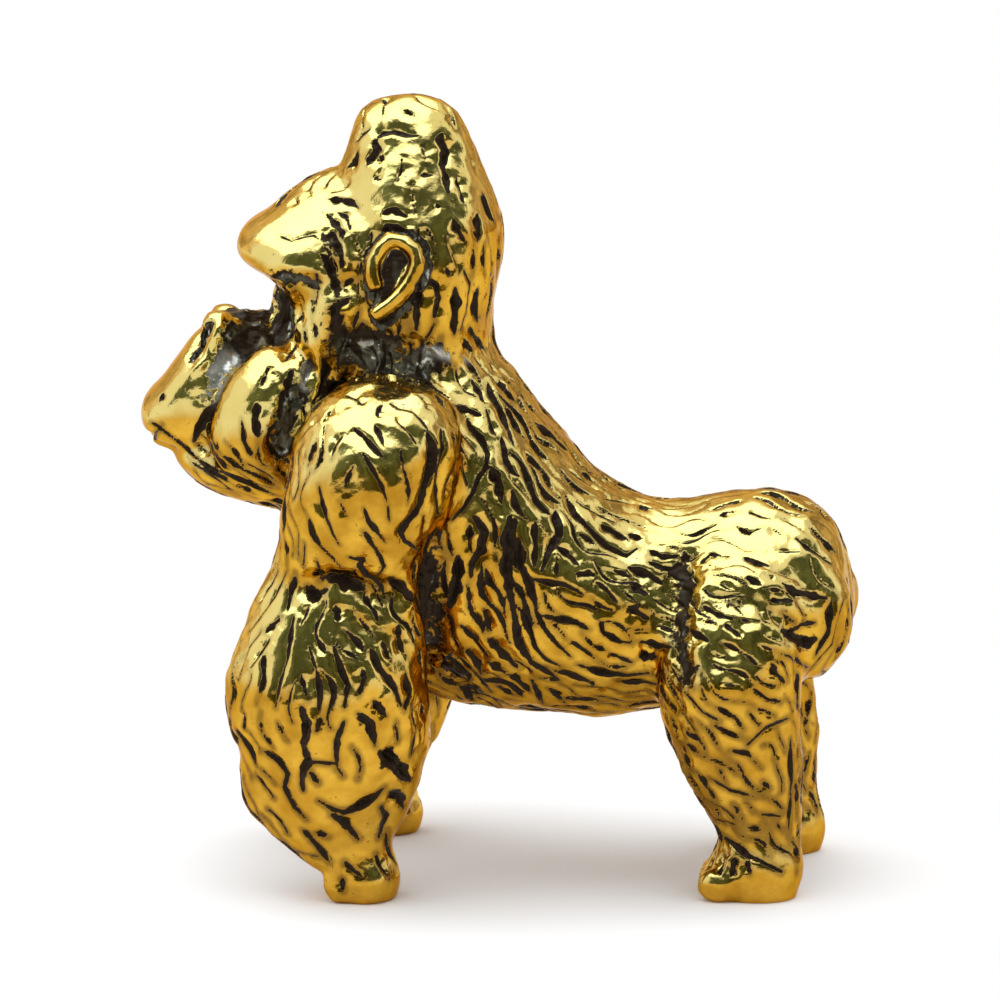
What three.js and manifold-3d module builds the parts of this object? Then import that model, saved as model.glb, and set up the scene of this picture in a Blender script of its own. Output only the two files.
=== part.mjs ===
// Cast brass gorilla on all fours, about 45 mm tall, made as section castings joined over brass rods.
// Millimetres, +Z up. It faces -X, and its left side is at -Y.
import * as THREE from 'three';
import { LoftGeometry } from 'three/addons/geometries/LoftGeometry.js';
import { mergeVertices } from 'three/addons/utils/BufferGeometryUtils.js';
import Module from 'manifold-3d';

// Driving dimensions

// Brazed joint between two castings, and the play of a joint rod in its bore.
const seamGap = 0.3;
const boreClearance = 0.3;

// Trunk, from the chest to the tail end. Each station is an upright oval across the body.
const trunk = {
  chest: { x: -12.2, z: 20.2, height: 9, width: 9 },
  breast: { x: -10.4, z: 20.4, height: 11.6, width: 11.5 },
  shoulders: { x: -7, z: 20.6, height: 18, width: 15.6 },
  neck: { x: -3, z: 20.5, height: 20.9, width: 17.2 },
  withers: { x: 0, z: 19.7, height: 20.2, width: 17.6 },
  back: { x: 2.8, z: 17.8, height: 16.6, width: 17.2 },
  ribs: { x: 5.4, z: 16.3, height: 13.9, width: 16.2 },
  loin: { x: 8.8, z: 15.6, height: 12, width: 14.2 },
  hips: { x: 12, z: 16.3, height: 11.6, width: 12.6 },
  rump: { x: 15.4, z: 16.9, height: 11.2, width: 12.4 },
  seat: { x: 18.2, z: 16.7, height: 9.8, width: 11.4 },
  tail: { x: 20.2, z: 16.2, height: 8, width: 9.6 },
};
const buttock = { x: 17.1, y: 3.1, z: 15.8, depth: 6.6, width: 6.2, height: 7.4 };

// Stance: how far the arms' and legs' lines stand out from the middle.
const stance = { arms: 8.8, legs: 6 };

// Arm, from the knuckles up. Each station is a level oval, set out from the arm's line.
const arm = {
  knuckles: { x: -6.8, out: -0.1, z: 0, depth: 3, width: 3.6 },
  fist: { x: -7, out: -0.1, z: 1.3, depth: 3.9, width: 4.6 },
  wrist: { x: -8.4, out: -0.1, z: 3.1, depth: 5.6, width: 4.7 },
  cuff: { x: -9.1, out: 0, z: 5.2, depth: 9.1, width: 6.3 },
  forearm: { x: -8.7, out: 0.2, z: 8.6, depth: 10.6, width: 7.9 },
  elbow: { x: -9.1, out: 0.3, z: 12.8, depth: 11.4, width: 8.9 },
  crook: { x: -8, out: -0.3, z: 18.2, depth: 9, width: 6.4 },
  upperArm: { x: -6.8, out: 0.4, z: 22.4, depth: 9, width: 8.8 },
  shoulder: { x: -6.2, out: -0.2, z: 26.2, depth: 9.4, width: 9 },
  crown: { x: -5.8, out: -1.8, z: 29.9, depth: 8.4, width: 7.8 },
};

// Hind leg, from the sole up, set out from the leg's line.
const leg = {
  sole: { x: 15, out: 0, z: 0, depth: 4.6, width: 4 },
  foot: { x: 15, out: 0, z: 1.3, depth: 5.4, width: 5 },
  instep: { x: 15.2, out: 0, z: 2.7, depth: 4.7, width: 4.6 },
  ankle: { x: 15.2, out: 0, z: 3.9, depth: 4.4, width: 4.5 },
  shank: { x: 14.3, out: 0, z: 7.2, depth: 6.7, width: 5.9 },
  thigh: { x: 13.4, out: 0.1, z: 12.7, depth: 8, width: 7.7 },
  haunch: { x: 13.9, out: -0.6, z: 16.8, depth: 8, width: 6.1 },
  crest: { x: 14.2, out: -0.7, z: 19.4, depth: 6.4, width: 5 },
};

// The walking stance: how far the right fist leads the left, and the right foot trails it.
const stride = { fist: 0.8, foot: 0.9 };

// Digits: each is an egg in a row across the front of the fist or foot.
const finger = { count: 4, depth: 2.2, width: 1.35, height: 2.4, pitch: 1, inset: 0.9 };
const toe = { count: 4, depth: 2.6, width: 1.5, height: 1.9, pitch: 1.15, inset: 0.9 };

// Skull and neck, from the neck joint up to the crest. Each station is a level oval.
const skull = {
  neckBase: { x: -4.3, z: 26, depth: 9.4, width: 12 },
  nape: { x: -4.9, z: 29.4, depth: 9.3, width: 12.6 },
  cheeks: { x: -5.3, z: 32, depth: 9, width: 13.2 },
  temples: { x: -5.2, z: 35, depth: 9.8, width: 12.6 },
  forehead: { x: -4.9, z: 37.6, depth: 9.6, width: 11 },
  dome: { x: -5.2, z: 40.4, depth: 8.4, width: 8.4 },
  ridge: { x: -5.3, z: 43.2, depth: 6.3, width: 5.6 },
  peak: { x: -5.5, z: 45.1, depth: 5.4, width: 4.2 },
};

// Face masses, from the back of each to its tip. Each station is an upright oval across the head, and a
// slope draws its top in and its foot out, as a share of the width.
const brow = {
  root: { x: -6, z: 36.6, height: 8.8, width: 10.6, slope: 0.2 },
  socketEdge: { x: -9.8, z: 36.4, height: 8.8, width: 11, slope: 0.35 },
  visor: { x: -12, z: 36.6, height: 6, width: 10.2, slope: 0.4 },
  lip: { x: -13.4, z: 36.6, height: 3.5, width: 8.6, slope: 0.3 },
  tip: { x: -15.2, z: 36.5, height: 2.8, width: 6.8, slope: 0.2 },
};
const muzzle = {
  root: { x: -8, z: 27.4, height: 10, width: 8.6 },
  bridge: { x: -13, z: 27.2, height: 10.4, width: 7.4 },
  nose: { x: -15.9, z: 27.6, height: 9.6, width: 7 },
  upperLip: { x: -17.9, z: 27.5, height: 7, width: 7.2 },
  lips: { x: -19.6, z: 26.6, height: 4, width: 6.4 },
  tip: { x: -20.9, z: 26.4, height: 3.2, width: 5.2 },
};
const jaw = {
  root: { x: -5, z: 26, height: 9, width: 12 },
  hinge: { x: -10, z: 25.2, height: 8.6, width: 11.4 },
  chin: { x: -13.6, z: 23.8, height: 5, width: 9.4 },
  lip: { x: -16.6, z: 23.7, height: 3.2, width: 7 },
  tip: { x: -19, z: 24.3, height: 2.4, width: 5.2 },
};
const noseBridge = { x: -11.7, z: 32.6, depth: 3.4, width: 3.4, height: 6.4 };
const jowl = { x: -12.7, y: 2.9, z: 26.9, depth: 7.2, width: 7.2, height: 9.2, lean: 0.45 };
const cheekbone = { x: -8.8, y: 3.2, z: 32.4, depth: 5.4, width: 6.4, height: 8, lean: 0.2 };
const nosePad = { x: -15.5, y: 1.5, z: 30.6, depth: 2.5, width: 3.2, height: 4.8, lean: -0.6 };
const nostril = { x: -16.4, y: 1.8, z: 30.9, depth: 1.4, width: 1.2, height: 2.4, lean: -0.6 };
const eye = { x: -11, y: 2.6, z: 33.8, diameter: 2.2 };
const mouth = { x: -19.5, z: 25, depth: 4.6, width: 10, height: 0.5, lean: 0.45 };

// Ear: a thin plate with a rim bent into a hook. The hook's points are shares of the ear's size.
const ear = { x: -5.3, z: 35.3, length: 3, height: 5, rim: 0.8, standOut: 1.8, plate: 0.8, tilt: 14 };
const earHook = [
  { along: -0.37, up: -0.14 },
  { along: -0.47, up: 0.1 },
  { along: -0.1, up: 0.42 },
  { along: 0.4, up: 0.24 },
  { along: 0.13, up: -0.18 },
  { along: -0.4, up: -0.46 },
];
const earPlate = { z: 0.4, depth: 0.8, height: 0.76 };

// Joint rods: each lies partly in the trunk and partly in the casting that it holds.
const neckRod = { diameter: 3.5, inTrunk: 4.5, inCasting: 4.5 };
const shoulderRod = { diameter: 2.5, inTrunk: 3.5, inCasting: 3.2 };
const hipRod = { diameter: 2.5, inTrunk: 2.8, inCasting: 2 };

// Mesh density.
const sides = 24;
const smallSides = 10;
const ringsPerStation = 2;
const domeRings = 4;
const rodSides = 16;

const wasm = await Module();
wasm.setup();

// Solids

const brass = (color) => new THREE.MeshStandardMaterial({ color, roughness: 0.25, metalness: 1 });
const castBrass = brass(0xd9a436);
const rodBrass = brass(0xc9a050);

/** A closed geometry as a solid that can be joined and cut. */
function solidOf(geometry) {
  const bare = new THREE.BufferGeometry();
  bare.setAttribute('position', geometry.getAttribute('position').clone());
  bare.setIndex(geometry.index);
  const merged = mergeVertices(bare, 1e-4);
  const corners = [];
  for (let i = 0; i < merged.index.count; i += 3) {
    const [a, b, c] = merged.index.array.slice(i, i + 3);
    if (a !== b && b !== c && c !== a) corners.push(a, b, c);
  }
  return new wasm.Manifold(new wasm.Mesh({
    numProp: 3,
    vertProperties: merged.getAttribute('position').array,
    triVerts: new Uint32Array(corners),
  }));
}

/** A named mesh of a solid. */
function meshOf(name, solid, material) {
  const made = solid.getMesh();
  const geometry = new THREE.BufferGeometry();
  geometry.setAttribute('position', new THREE.BufferAttribute(made.vertProperties, 3));
  geometry.setIndex(new THREE.BufferAttribute(made.triVerts, 1));
  geometry.computeVertexNormals();
  const mesh = new THREE.Mesh(geometry, material);
  mesh.name = name;
  return mesh;
}

const joined = (solids) => solids.reduce((a, b) => a.add(b));

/** The heights at which a loft is cut, from 0 at its first station to its last, closer together in a dome. */
function ringPlaces(count, domed) {
  const last = count - 1;
  const places = [];
  const open = { from: domed.start ? 1 : 0, to: domed.end ? last - 1 : last };
  for (let i = 0; domed.start && i < domeRings; i++) {
    places.push(1 - Math.cos((i / domeRings) * Math.PI / 2));
  }
  const straight = (open.to - open.from) * ringsPerStation;
  for (let i = 0; i <= straight; i++) {
    places.push(open.from + i / ringsPerStation);
  }
  for (let i = 1; domed.end && i <= domeRings; i++) {
    places.push(last - 1 + Math.sin((i / domeRings) * Math.PI / 2));
  }
  return places;
}

/**
 * Lofts a rounded mass through its stations. Each station is an oval across the loft: first along the
 * axis called high, then across Y. A domed end shrinks to a point at its last station.
 */
function loft(stations, { high, domed = { end: true }, grow = 0 }) {
  const list = Object.values(stations);
  const highSize = high === 'z' ? 'height' : 'depth';
  const centres = new THREE.CatmullRomCurve3(
    list.map((s) => new THREE.Vector3(s.x, s.y ?? 0, s.z)), false, 'catmullrom');
  const sizes = new THREE.CatmullRomCurve3(
    list.map((s) => new THREE.Vector3(s[highSize], s.width, s.slope ?? 0)), false, 'catmullrom');
  const last = list.length - 1;
  const sections = ringPlaces(list.length, domed).map((place) => {
    const centre = centres.getPoint(place / last);
    const size = sizes.getPoint(place / last);
    let shrink = 1;
    if (domed.start && place < 1) shrink = Math.sqrt(1 - (1 - place) ** 2);
    if (domed.end && place > last - 1) shrink = Math.sqrt(Math.max(0, 1 - (place - last + 1) ** 2));
    const tip = shrink < 1e-6;
    const halfHigh = tip ? 0 : (size.x / 2) * shrink + grow;
    const halfWide = tip ? 0 : (size.y / 2) * shrink + grow;
    return ovalSection(centre, high, halfHigh, halfWide, size.z);
  });
  const flat = { capStart: !domed.start, capEnd: !domed.end };
  return facingOut(new LoftGeometry(sections, flat));
}

/** The points of an oval about a centre, drawn in towards its high end by its slope. */
function ovalSection(centre, high, halfHigh, halfWide, slope) {
  const points = [];
  for (let i = 0; i < sides; i++) {
    const angle = (i / sides) * Math.PI * 2;
    const point = centre.clone();
    point[high] += Math.cos(angle) * halfHigh;
    point.y += Math.sin(angle) * halfWide * (1 - slope * Math.cos(angle));
    points.push(point);
  }
  return points;
}

/** The solid of a closed geometry, turned round if its faces point in. */
function facingOut(geometry) {
  const solid = solidOf(geometry);
  if (solid.volume() > 0) return solid;
  const index = geometry.index.array;
  for (let i = 0; i < index.length; i += 3) {
    [index[i + 1], index[i + 2]] = [index[i + 2], index[i + 1]];
  }
  return solidOf(geometry);
}

/** An egg-shaped mass, leaning about Y by its lean, on one side of the body. */
function egg({ x, y = 0, z, depth, width, height, lean = 0 }, { side = 1, grow = 0, around = sides } = {}) {
  const geometry = new THREE.SphereGeometry(1, around, around / 2);
  geometry.rotateX(Math.PI / 2);
  geometry.scale(depth / 2 + grow, width / 2 + grow, height / 2 + grow);
  geometry.rotateY(lean);
  geometry.translate(x, y * side, z);
  return solidOf(geometry);
}

/** A round rod from a point on the seam, reaching inwards into the trunk and outwards into a casting. */
function rod({ diameter, inTrunk, inCasting }, seam, outwards, play = 0) {
  const radius = diameter / 2 + play;
  const length = inTrunk + inCasting + 2 * play;
  const geometry = new THREE.CylinderGeometry(radius, radius, length, rodSides);
  geometry.translate(0, (inCasting - inTrunk) / 2, 0);
  const turn = new THREE.Quaternion().setFromUnitVectors(new THREE.Vector3(0, 1, 0), outwards);
  geometry.applyQuaternion(turn);
  geometry.translate(seam.x, seam.y, seam.z);
  return solidOf(geometry);
}

// Joints: where each rod crosses its seam.

const bothSides = [-1, 1];
const sideName = { [-1]: 'left', 1: 'right' };

function neckJoint(play) {
  const seam = new THREE.Vector3(skull.neckBase.x, 0, trunk.neck.z + trunk.neck.height / 2);
  return rod(neckRod, seam, new THREE.Vector3(0, 0, 1), play);
}

function shoulderJoint(side, play) {
  const seam = new THREE.Vector3(arm.upperArm.x, (trunk.shoulders.width / 2) * side, arm.upperArm.z);
  return rod(shoulderRod, seam, new THREE.Vector3(0, side, 0), play);
}

function hipJoint(side, play) {
  const seam = new THREE.Vector3(leg.thigh.x, (trunk.rump.width / 2) * side, (leg.thigh.z + leg.haunch.z) / 2);
  return rod(hipRod, seam, new THREE.Vector3(0, side, 0), play);
}

// Section castings

function trunkSolid(grow = 0) {
  const body = loft(trunk, { high: 'z', domed: { start: true, end: true }, grow });
  return joined([body, ...bothSides.map((side) => egg(buttock, { side, grow }))]);
}

function headSolid(grow = 0) {
  const cranium = loft(skull, { high: 'x', grow });
  const face = [brow, muzzle, jaw].map((mass) => loft(mass, { high: 'z', grow }));
  const eyeball = { ...eye, depth: eye.diameter, width: eye.diameter, height: eye.diameter };
  const pairs = bothSides.flatMap((side) => [
    egg(jowl, { side, grow }),
    egg(cheekbone, { side, grow, around: smallSides }),
    egg(nosePad, { side, grow, around: smallSides }),
    egg(eyeball, { side, grow, around: smallSides }),
  ]);
  return joined([cranium, ...face, egg(noseBridge, { grow, around: smallSides }), ...pairs]);
}

const trunkRoom = trunkSolid(seamGap);
const headRoom = headSolid(seamGap);

function headCasting() {
  const nostrils = joined(bothSides.map((side) => egg(nostril, { side, around: smallSides })));
  return headSolid()
    .subtract(trunkRoom)
    .subtract(nostrils)
    .subtract(egg(mouth))
    .subtract(neckJoint(boreClearance));
}

/** The stations of a limb on one side of the body, with its lower end moved along X. */
function onSide(stations, line, side, shift) {
  const list = Object.values(stations);
  const top = list[list.length - 1].z;
  return list.map((s) => ({ ...s, x: s.x + shift * (1 - s.z / top) ** 2, y: (line + s.out) * side }));
}

/** A row of digits across the front of a fist or foot, standing on the floor. */
function digits(digit, base, line, side, shift) {
  const row = [];
  for (let i = 0; i < digit.count; i++) {
    const across = (i - (digit.count - 1) / 2) * digit.pitch;
    const place = {
      x: base.x + shift - base.depth / 2 + digit.inset,
      y: line + base.out + across,
      z: digit.height / 2,
    };
    row.push(egg({ ...digit, ...place }, { side, around: smallSides }));
  }
  return row;
}

function armCasting(side) {
  const shift = side > 0 ? -stride.fist : 0;
  const limb = loft(onSide(arm, stance.arms, side, shift), { high: 'x' });
  return joined([limb, ...digits(finger, arm.fist, stance.arms, side, shift)])
    .subtract(trunkRoom)
    .subtract(headRoom)
    .subtract(shoulderJoint(side, boreClearance));
}

function legCasting(side) {
  const shift = side > 0 ? stride.foot : 0;
  const limb = loft(onSide(leg, stance.legs, side, shift), { high: 'x' });
  return joined([limb, ...digits(toe, leg.foot, stance.legs, side, shift)])
    .subtract(trunkRoom)
    .subtract(hipJoint(side, boreClearance));
}

function trunkCasting() {
  const bores = bothSides.flatMap((side) => [
    shoulderJoint(side, boreClearance),
    hipJoint(side, boreClearance),
  ]);
  return trunkSolid().subtract(joined([neckJoint(boreClearance), ...bores]));
}

function earCasting(side) {
  const path = new THREE.CatmullRomCurve3(
    earHook.map((p) => new THREE.Vector3(p.along * ear.length, 0, p.up * ear.height)));
  const rim = new THREE.Shape().absellipse(0, 0, ear.standOut / 2, ear.rim / 2, 0, Math.PI * 2);
  const steps = earHook.length * ringsPerStation;
  const curl = facingOut(new THREE.ExtrudeGeometry(rim, { steps, curveSegments: 5, extrudePath: path }));
  const plate = egg({
    x: 0,
    z: earPlate.z,
    depth: earPlate.depth * ear.length,
    width: ear.plate,
    height: earPlate.height * ear.height,
  }, { around: smallSides });
  const seat = skull.temples.width / 2 + seamGap;
  return curl.add(plate)
    .rotate([ear.tilt * side, 0, 0])
    .translate([ear.x, seat * side, ear.z])
    .subtract(headRoom);
}

// The figure, with its origin on the floor in the middle of its outline.

const castings = new THREE.Group();
castings.add(meshOf('trunk', trunkCasting(), castBrass));
castings.add(meshOf('head', headCasting(), castBrass));
castings.add(meshOf('neck_rod', neckJoint(), rodBrass));
for (const side of bothSides) {
  const name = sideName[side];
  castings.add(meshOf(`${name}_arm`, armCasting(side), castBrass));
  castings.add(meshOf(`${name}_leg`, legCasting(side), castBrass));
  castings.add(meshOf(`${name}_ear`, earCasting(side), castBrass));
  castings.add(meshOf(`${name}_shoulder_rod`, shoulderJoint(side), rodBrass));
  castings.add(meshOf(`${name}_hip_rod`, hipJoint(side), rodBrass));
}
const box = new THREE.Box3().setFromObject(castings);
const middle = box.getCenter(new THREE.Vector3());
castings.position.set(-middle.x, -middle.y, -box.min.z);

const figure = new THREE.Group();
figure.add(castings);

export default figure;
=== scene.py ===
"""Brass gorilla: the section castings are blended, carved by hand with fur, darkened and polished."""

import math
import random

import bmesh
import bpy
import numpy as np
from mathutils import Matrix, Vector, noise
from mathutils.bvhtree import BVHTree


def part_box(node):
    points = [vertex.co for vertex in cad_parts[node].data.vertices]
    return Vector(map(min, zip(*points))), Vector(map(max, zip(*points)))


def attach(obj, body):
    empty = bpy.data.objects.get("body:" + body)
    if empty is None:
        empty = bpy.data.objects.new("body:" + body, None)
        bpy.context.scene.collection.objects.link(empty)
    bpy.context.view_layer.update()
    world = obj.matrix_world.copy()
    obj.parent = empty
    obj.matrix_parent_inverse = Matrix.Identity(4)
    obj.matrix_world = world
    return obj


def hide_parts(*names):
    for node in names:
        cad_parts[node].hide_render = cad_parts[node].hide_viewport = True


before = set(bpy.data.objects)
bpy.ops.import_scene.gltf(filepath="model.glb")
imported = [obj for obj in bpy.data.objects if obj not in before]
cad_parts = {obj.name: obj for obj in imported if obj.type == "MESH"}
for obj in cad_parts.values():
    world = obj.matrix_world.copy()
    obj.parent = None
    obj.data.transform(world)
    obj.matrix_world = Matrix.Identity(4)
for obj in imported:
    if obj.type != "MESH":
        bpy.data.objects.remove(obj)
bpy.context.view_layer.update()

# Carving is measured in millimetres, like the castings' own sizes; objects are in metres.
MM = 0.001
BODY = ("trunk", "head", "left_arm", "right_arm", "left_leg", "right_leg")
LIMBS = BODY[2:]
EARS = ("left_ear", "right_ear")
CASTINGS = BODY + EARS
RODS = ("neck_rod", "left_shoulder_rod", "right_shoulder_rod", "left_hip_rod", "right_hip_rod")

# How fine the carved surface is, and how far it swells so that it closes over the seams.
GRAIN = 0.14
SEAM_HALF = 0.16
EAR_SWELLING = 0.15
# Points of the solids that are closer than this are one point.
SAME_POINT = 0.002
# A shell of fewer edges than this is a speck of the cutting and not a casting.
SPECK_EDGES = 200

# How long each casting is polished at a set grain, and how much longer where two castings meet.
POLISH = {"trunk": 60, "head": 18, "left_arm": 44, "right_arm": 44, "left_leg": 36, "right_leg": 36,
          "left_ear": 5, "right_ear": 5}
POLISH_GRAIN = 0.16
POLISH_JOINTS = 220
JOINT_REACH = 1.5
# Fingers and toes are polished only this long below the first height, and like the limb above the second.
POLISH_DIGITS = 7
DIGITS_TOP = (2.4, 4.2)

# Low lumps left by the maker's hand: (breadth, height, where in the chance pattern they are taken).
LUMPS = ((2.9, 0.20, (0, 0, 0)), (1.25, 0.08, (7, 3, 1)), (0.6, 0.03, (2, 9, 4)))
# How lumpy each casting is, and how much less lumpy the face is than the head.
LUMPY = {"trunk": 1.0, "head": 0.75, "left_arm": 1.0, "right_arm": 1.0, "left_leg": 1.0, "right_leg": 1.0,
         "left_ear": 0.15, "right_ear": 0.15}
LESS_LUMPY_FACE = 0.35

# How broad the ragged bits of a stroke's edge are, and how far they move it.
RAGGED_BREADTH = 0.55
RAGGED_SHARE = 0.45
# A stroke reaches only points that face its way: the least cosine between them.
SAME_FACING = 0.1
# How far apart the points of a pressed line are.
PRESS_STEP = 0.12
# Fur strokes: how near to another one may start, the gap in recesses, and the fewest points of a path.
LEAST_GAP = 0.4
RECESS_GAP = 0.5
SHORTEST_PATH = 6
# Hands and feet have no fur below this height.
DIGITS_BARE = 2.6

# Ears: how far they tilt up, how far the rim and the hollow are below the top, and the dark foot's reach.
EAR_TILT = math.radians(14)
EAR_RIM = 0.38
EAR_HOLLOW = 0.54
EAR_FOOT = 0.9

# Colours of the metal, from the hollows to the highlights: the lemons are painted highlight, the silver is
# painted glint and sheen, and the tarnish brown also paints shade low down.
PATINA_BLACK = (0.016, 0.010, 0.007, 1)
GUNMETAL = (0.095, 0.088, 0.062, 1)
GLINT_SILVER = (0.56, 0.55, 0.5, 1)
TARNISH_AND_SHADE_BROWN = (0.14, 0.064, 0.008, 1)
DEEP_AMBER = (0.47, 0.225, 0.009, 1)
PALE_AMBER = (0.82, 0.465, 0.042, 1)
HIGHLIGHT_DEEP_LEMON = (0.74, 0.57, 0.15, 1)
HIGHLIGHT_PALE_LEMON = (0.88, 0.73, 0.27, 1)
DULL_ROD = (0.62, 0.42, 0.14, 1)
BRIGHT_ROD = (0.74, 0.52, 0.2, 1)

# Studio, in metres: the floor, where its paint runs out to plain white, and the cloths of the two screens.
FLOOR_REACH = 2.0
FLOOR_SIDES = 64
FLOOR_RUNS_OUT = (0.014, 0.036)
FLOOR_PAINT = (0.94, 0.90, 0.87, 1)
OLIVE_CLOTH = (0.075, 0.088, 0.05)
WARM_CLOTH = (0.6, 0.45, 0.3)

# Every chance choice is drawn from here, so each run makes the same figure.
luck = random.Random(41)

# The view that the carving is drawn in: from the left side, a little behind and above.
VIEW_TURN = math.radians(5.56)
VIEW_LIFT = math.radians(9.11)
VIEW_AWAY = 300.0
VIEW_MIDDLE = Vector((0.12, 0.0, 21.64))
VIEW_BACK = Vector((math.sin(VIEW_TURN) * math.cos(VIEW_LIFT),
                    -math.cos(VIEW_TURN) * math.cos(VIEW_LIFT),
                    math.sin(VIEW_LIFT)))
VIEW_RIGHT = Vector((math.cos(VIEW_TURN), math.sin(VIEW_TURN), 0.0))
VIEW_UP = VIEW_BACK.cross(VIEW_RIGHT)
PIXELS_PER_MM = 17.29
PICTURE_PIXELS = 1000
# The width of the camera's sensor.
SENSOR = 36

# Strokes that the figure has at set places: (half width, [(right, up), ...]) from the middle of the view.
BROW = (
    (0.13, [(-9.9, 17.4), (-9.2, 17.4), (-8.5, 17.2), (-8.2, 16.9)]),
    (0.13, [(-10, 16.5), (-9.5, 16), (-9.2, 15.6), (-9.1, 15.2)]),
    (0.15, [(-9.8, 15.6), (-9.5, 14.9), (-9.2, 14.1), (-9.1, 13.3)]),
    (0.24, [(-10.4, 14.2), (-10, 13.8), (-9.7, 13), (-9.4, 12.1)]),
    (0.06, [(-12.8, 15.3), (-12.1, 15), (-11.4, 15.2), (-10.8, 15.3), (-10.3, 15)]),
    (0.10, [(-9.4, 16.7), (-8.9, 16.4), (-8.6, 15.6)]),
    (0.10, [(-8.6, 18.4), (-9.2, 17.9), (-9.8, 17.8)]),
    (0.08, [(-10.6, 13.2), (-10.6, 12.5)]),
)
FACE = (
    (0.22, [(-16.9, 10.1), (-17.2, 9.1), (-17.6, 8.5), (-18, 8)]),
    (0.08, [(-19.5, 6.2), (-19.7, 5.7)]),
    (0.08, [(-20.2, 4.5), (-19.5, 4), (-18.7, 3.4), (-18, 2.8), (-17.4, 2.3)]),
    (0.12, [(-17.4, 2.3), (-16.5, 1.6), (-15.7, 1.1)]),
    (0.23, [(-16.2, 6.3), (-16.9, 5.2), (-17.4, 4.1), (-17.7, 3.4)]),
    (0.10, [(-13.4, 7.8), (-13.6, 7.2), (-13.9, 6.5)]),
    (0.14, [(-11.8, 9), (-12.1, 8.5), (-12.5, 7.9)]),
    (0.20, [(-12, 7.5), (-12.3, 6.7), (-12.4, 5.8)]),
    (0.23, [(-11, 8.2), (-11.3, 7.2), (-11.4, 5.9)]),
    (0.19, [(-10.3, 8.2), (-10.1, 7.3), (-10.4, 6.2), (-10.8, 5.6)]),
    (0.21, [(-14.1, 5.6), (-14.2, 4.6), (-14, 3.5)]),
)
BEARD = (
    (0.12, [(-17.9, 2.2), (-16.8, 1.5), (-15.6, 0.6), (-14.1, 0.1)]),
    (0.12, [(-16.5, 1.8), (-15.3, 1.2), (-13.9, 0.6), (-12.8, 0.2)]),
    (0.09, [(-16.2, 2.6), (-14.8, 1.7), (-13.5, 1.1), (-12.8, 0.7)]),
    (0.09, [(-14.7, 2.1), (-13.6, 1.5), (-12.8, 1)]),
)
CHEEK = (
    (0.23, [(-9.6, 11.3), (-9.6, 10.5), (-9.7, 9.7)]),
    (0.19, [(-10.8, 10.2), (-10.7, 9.5)]),
    (0.12, [(-9.2, 10.7), (-9.3, 10)]),
    (0.14, [(-8.7, 11.7), (-9.2, 11.3), (-10, 11)]),
    (0.12, [(-8.5, 12.8), (-9, 12.4)]),
)
CROWN = (
    (0.15, [(-7.2, 20.9), (-6.8, 21.2), (-6.1, 21.3), (-5.4, 21.1), (-4.7, 21.1)]),
    (0.19, [(-7.3, 20.8), (-7.1, 20.3), (-7.6, 19.7), (-7.7, 19.3)]),
    (0.24, [(-3.3, 21.2), (-3.5, 20.8), (-3.1, 20.2), (-3.3, 19.4), (-3.1, 18.7), (-3, 17.8)]),
    (0.13, [(-2.5, 18.7), (-2.3, 18), (-2.1, 17.2)]),
    (0.09, [(-3.8, 17.2), (-3.4, 16.9)]),
    (0.13, [(-1, 17.7), (-0.7, 16.9), (-0.3, 16)]),
    (0.13, [(-1.3, 16.6), (-1.2, 15.5), (-1.3, 15)]),
    (0.14, [(-2.7, 16.3), (-2.4, 15.6), (-2, 14.9)]),
    (0.09, [(-4.6, 18.8), (-3.9, 18.8)]),
    (0.10, [(-7.5, 21.5), (-8, 21.1), (-8.3, 20.7)]),
    (0.13, [(-8.2, 20.2), (-8.5, 19.5), (-9, 19.1)]),
    (0.12, [(-7, 19.9), (-6.7, 19.7)]),
    (0.10, [(-7.3, 18.7), (-6.9, 18.5)]),
    (0.14, [(-6.8, 16.6), (-6.2, 16.8), (-5.4, 16.4)]),
    (0.17, [(-6.9, 15.6), (-6.2, 15.8), (-5.3, 15.5)]),
)
NAPE = (
    (0.21, [(-4.2, 12.8), (-3.7, 12.4), (-3.5, 11.7), (-3.8, 10.6)]),
    (0.21, [(-2.6, 12.2), (-2.5, 11.4), (-2.6, 10.3), (-2.6, 9.6)]),
    (0.13, [(-2.1, 13.3), (-1.7, 12.5), (-1.9, 10.9), (-2.3, 9.8)]),
    (0.20, [(-1.3, 12.1), (-1.4, 11.2), (-1.3, 10.3)]),
    (0.15, [(-0.5, 13.1), (-0.7, 12.1), (-1, 11.4), (-1.2, 10.5)]),
    (0.24, [(-4.8, 12.6), (-4.8, 11.3), (-4.8, 9.8)]),
    (0.17, [(-3.1, 13.4), (-2.9, 13)]),
    (0.15, [(-1.8, 10), (-1.3, 9.3), (-0.8, 8.7)]),
    (0.15, [(-2.1, 9.3), (-1.6, 8.6)]),
)
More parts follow.
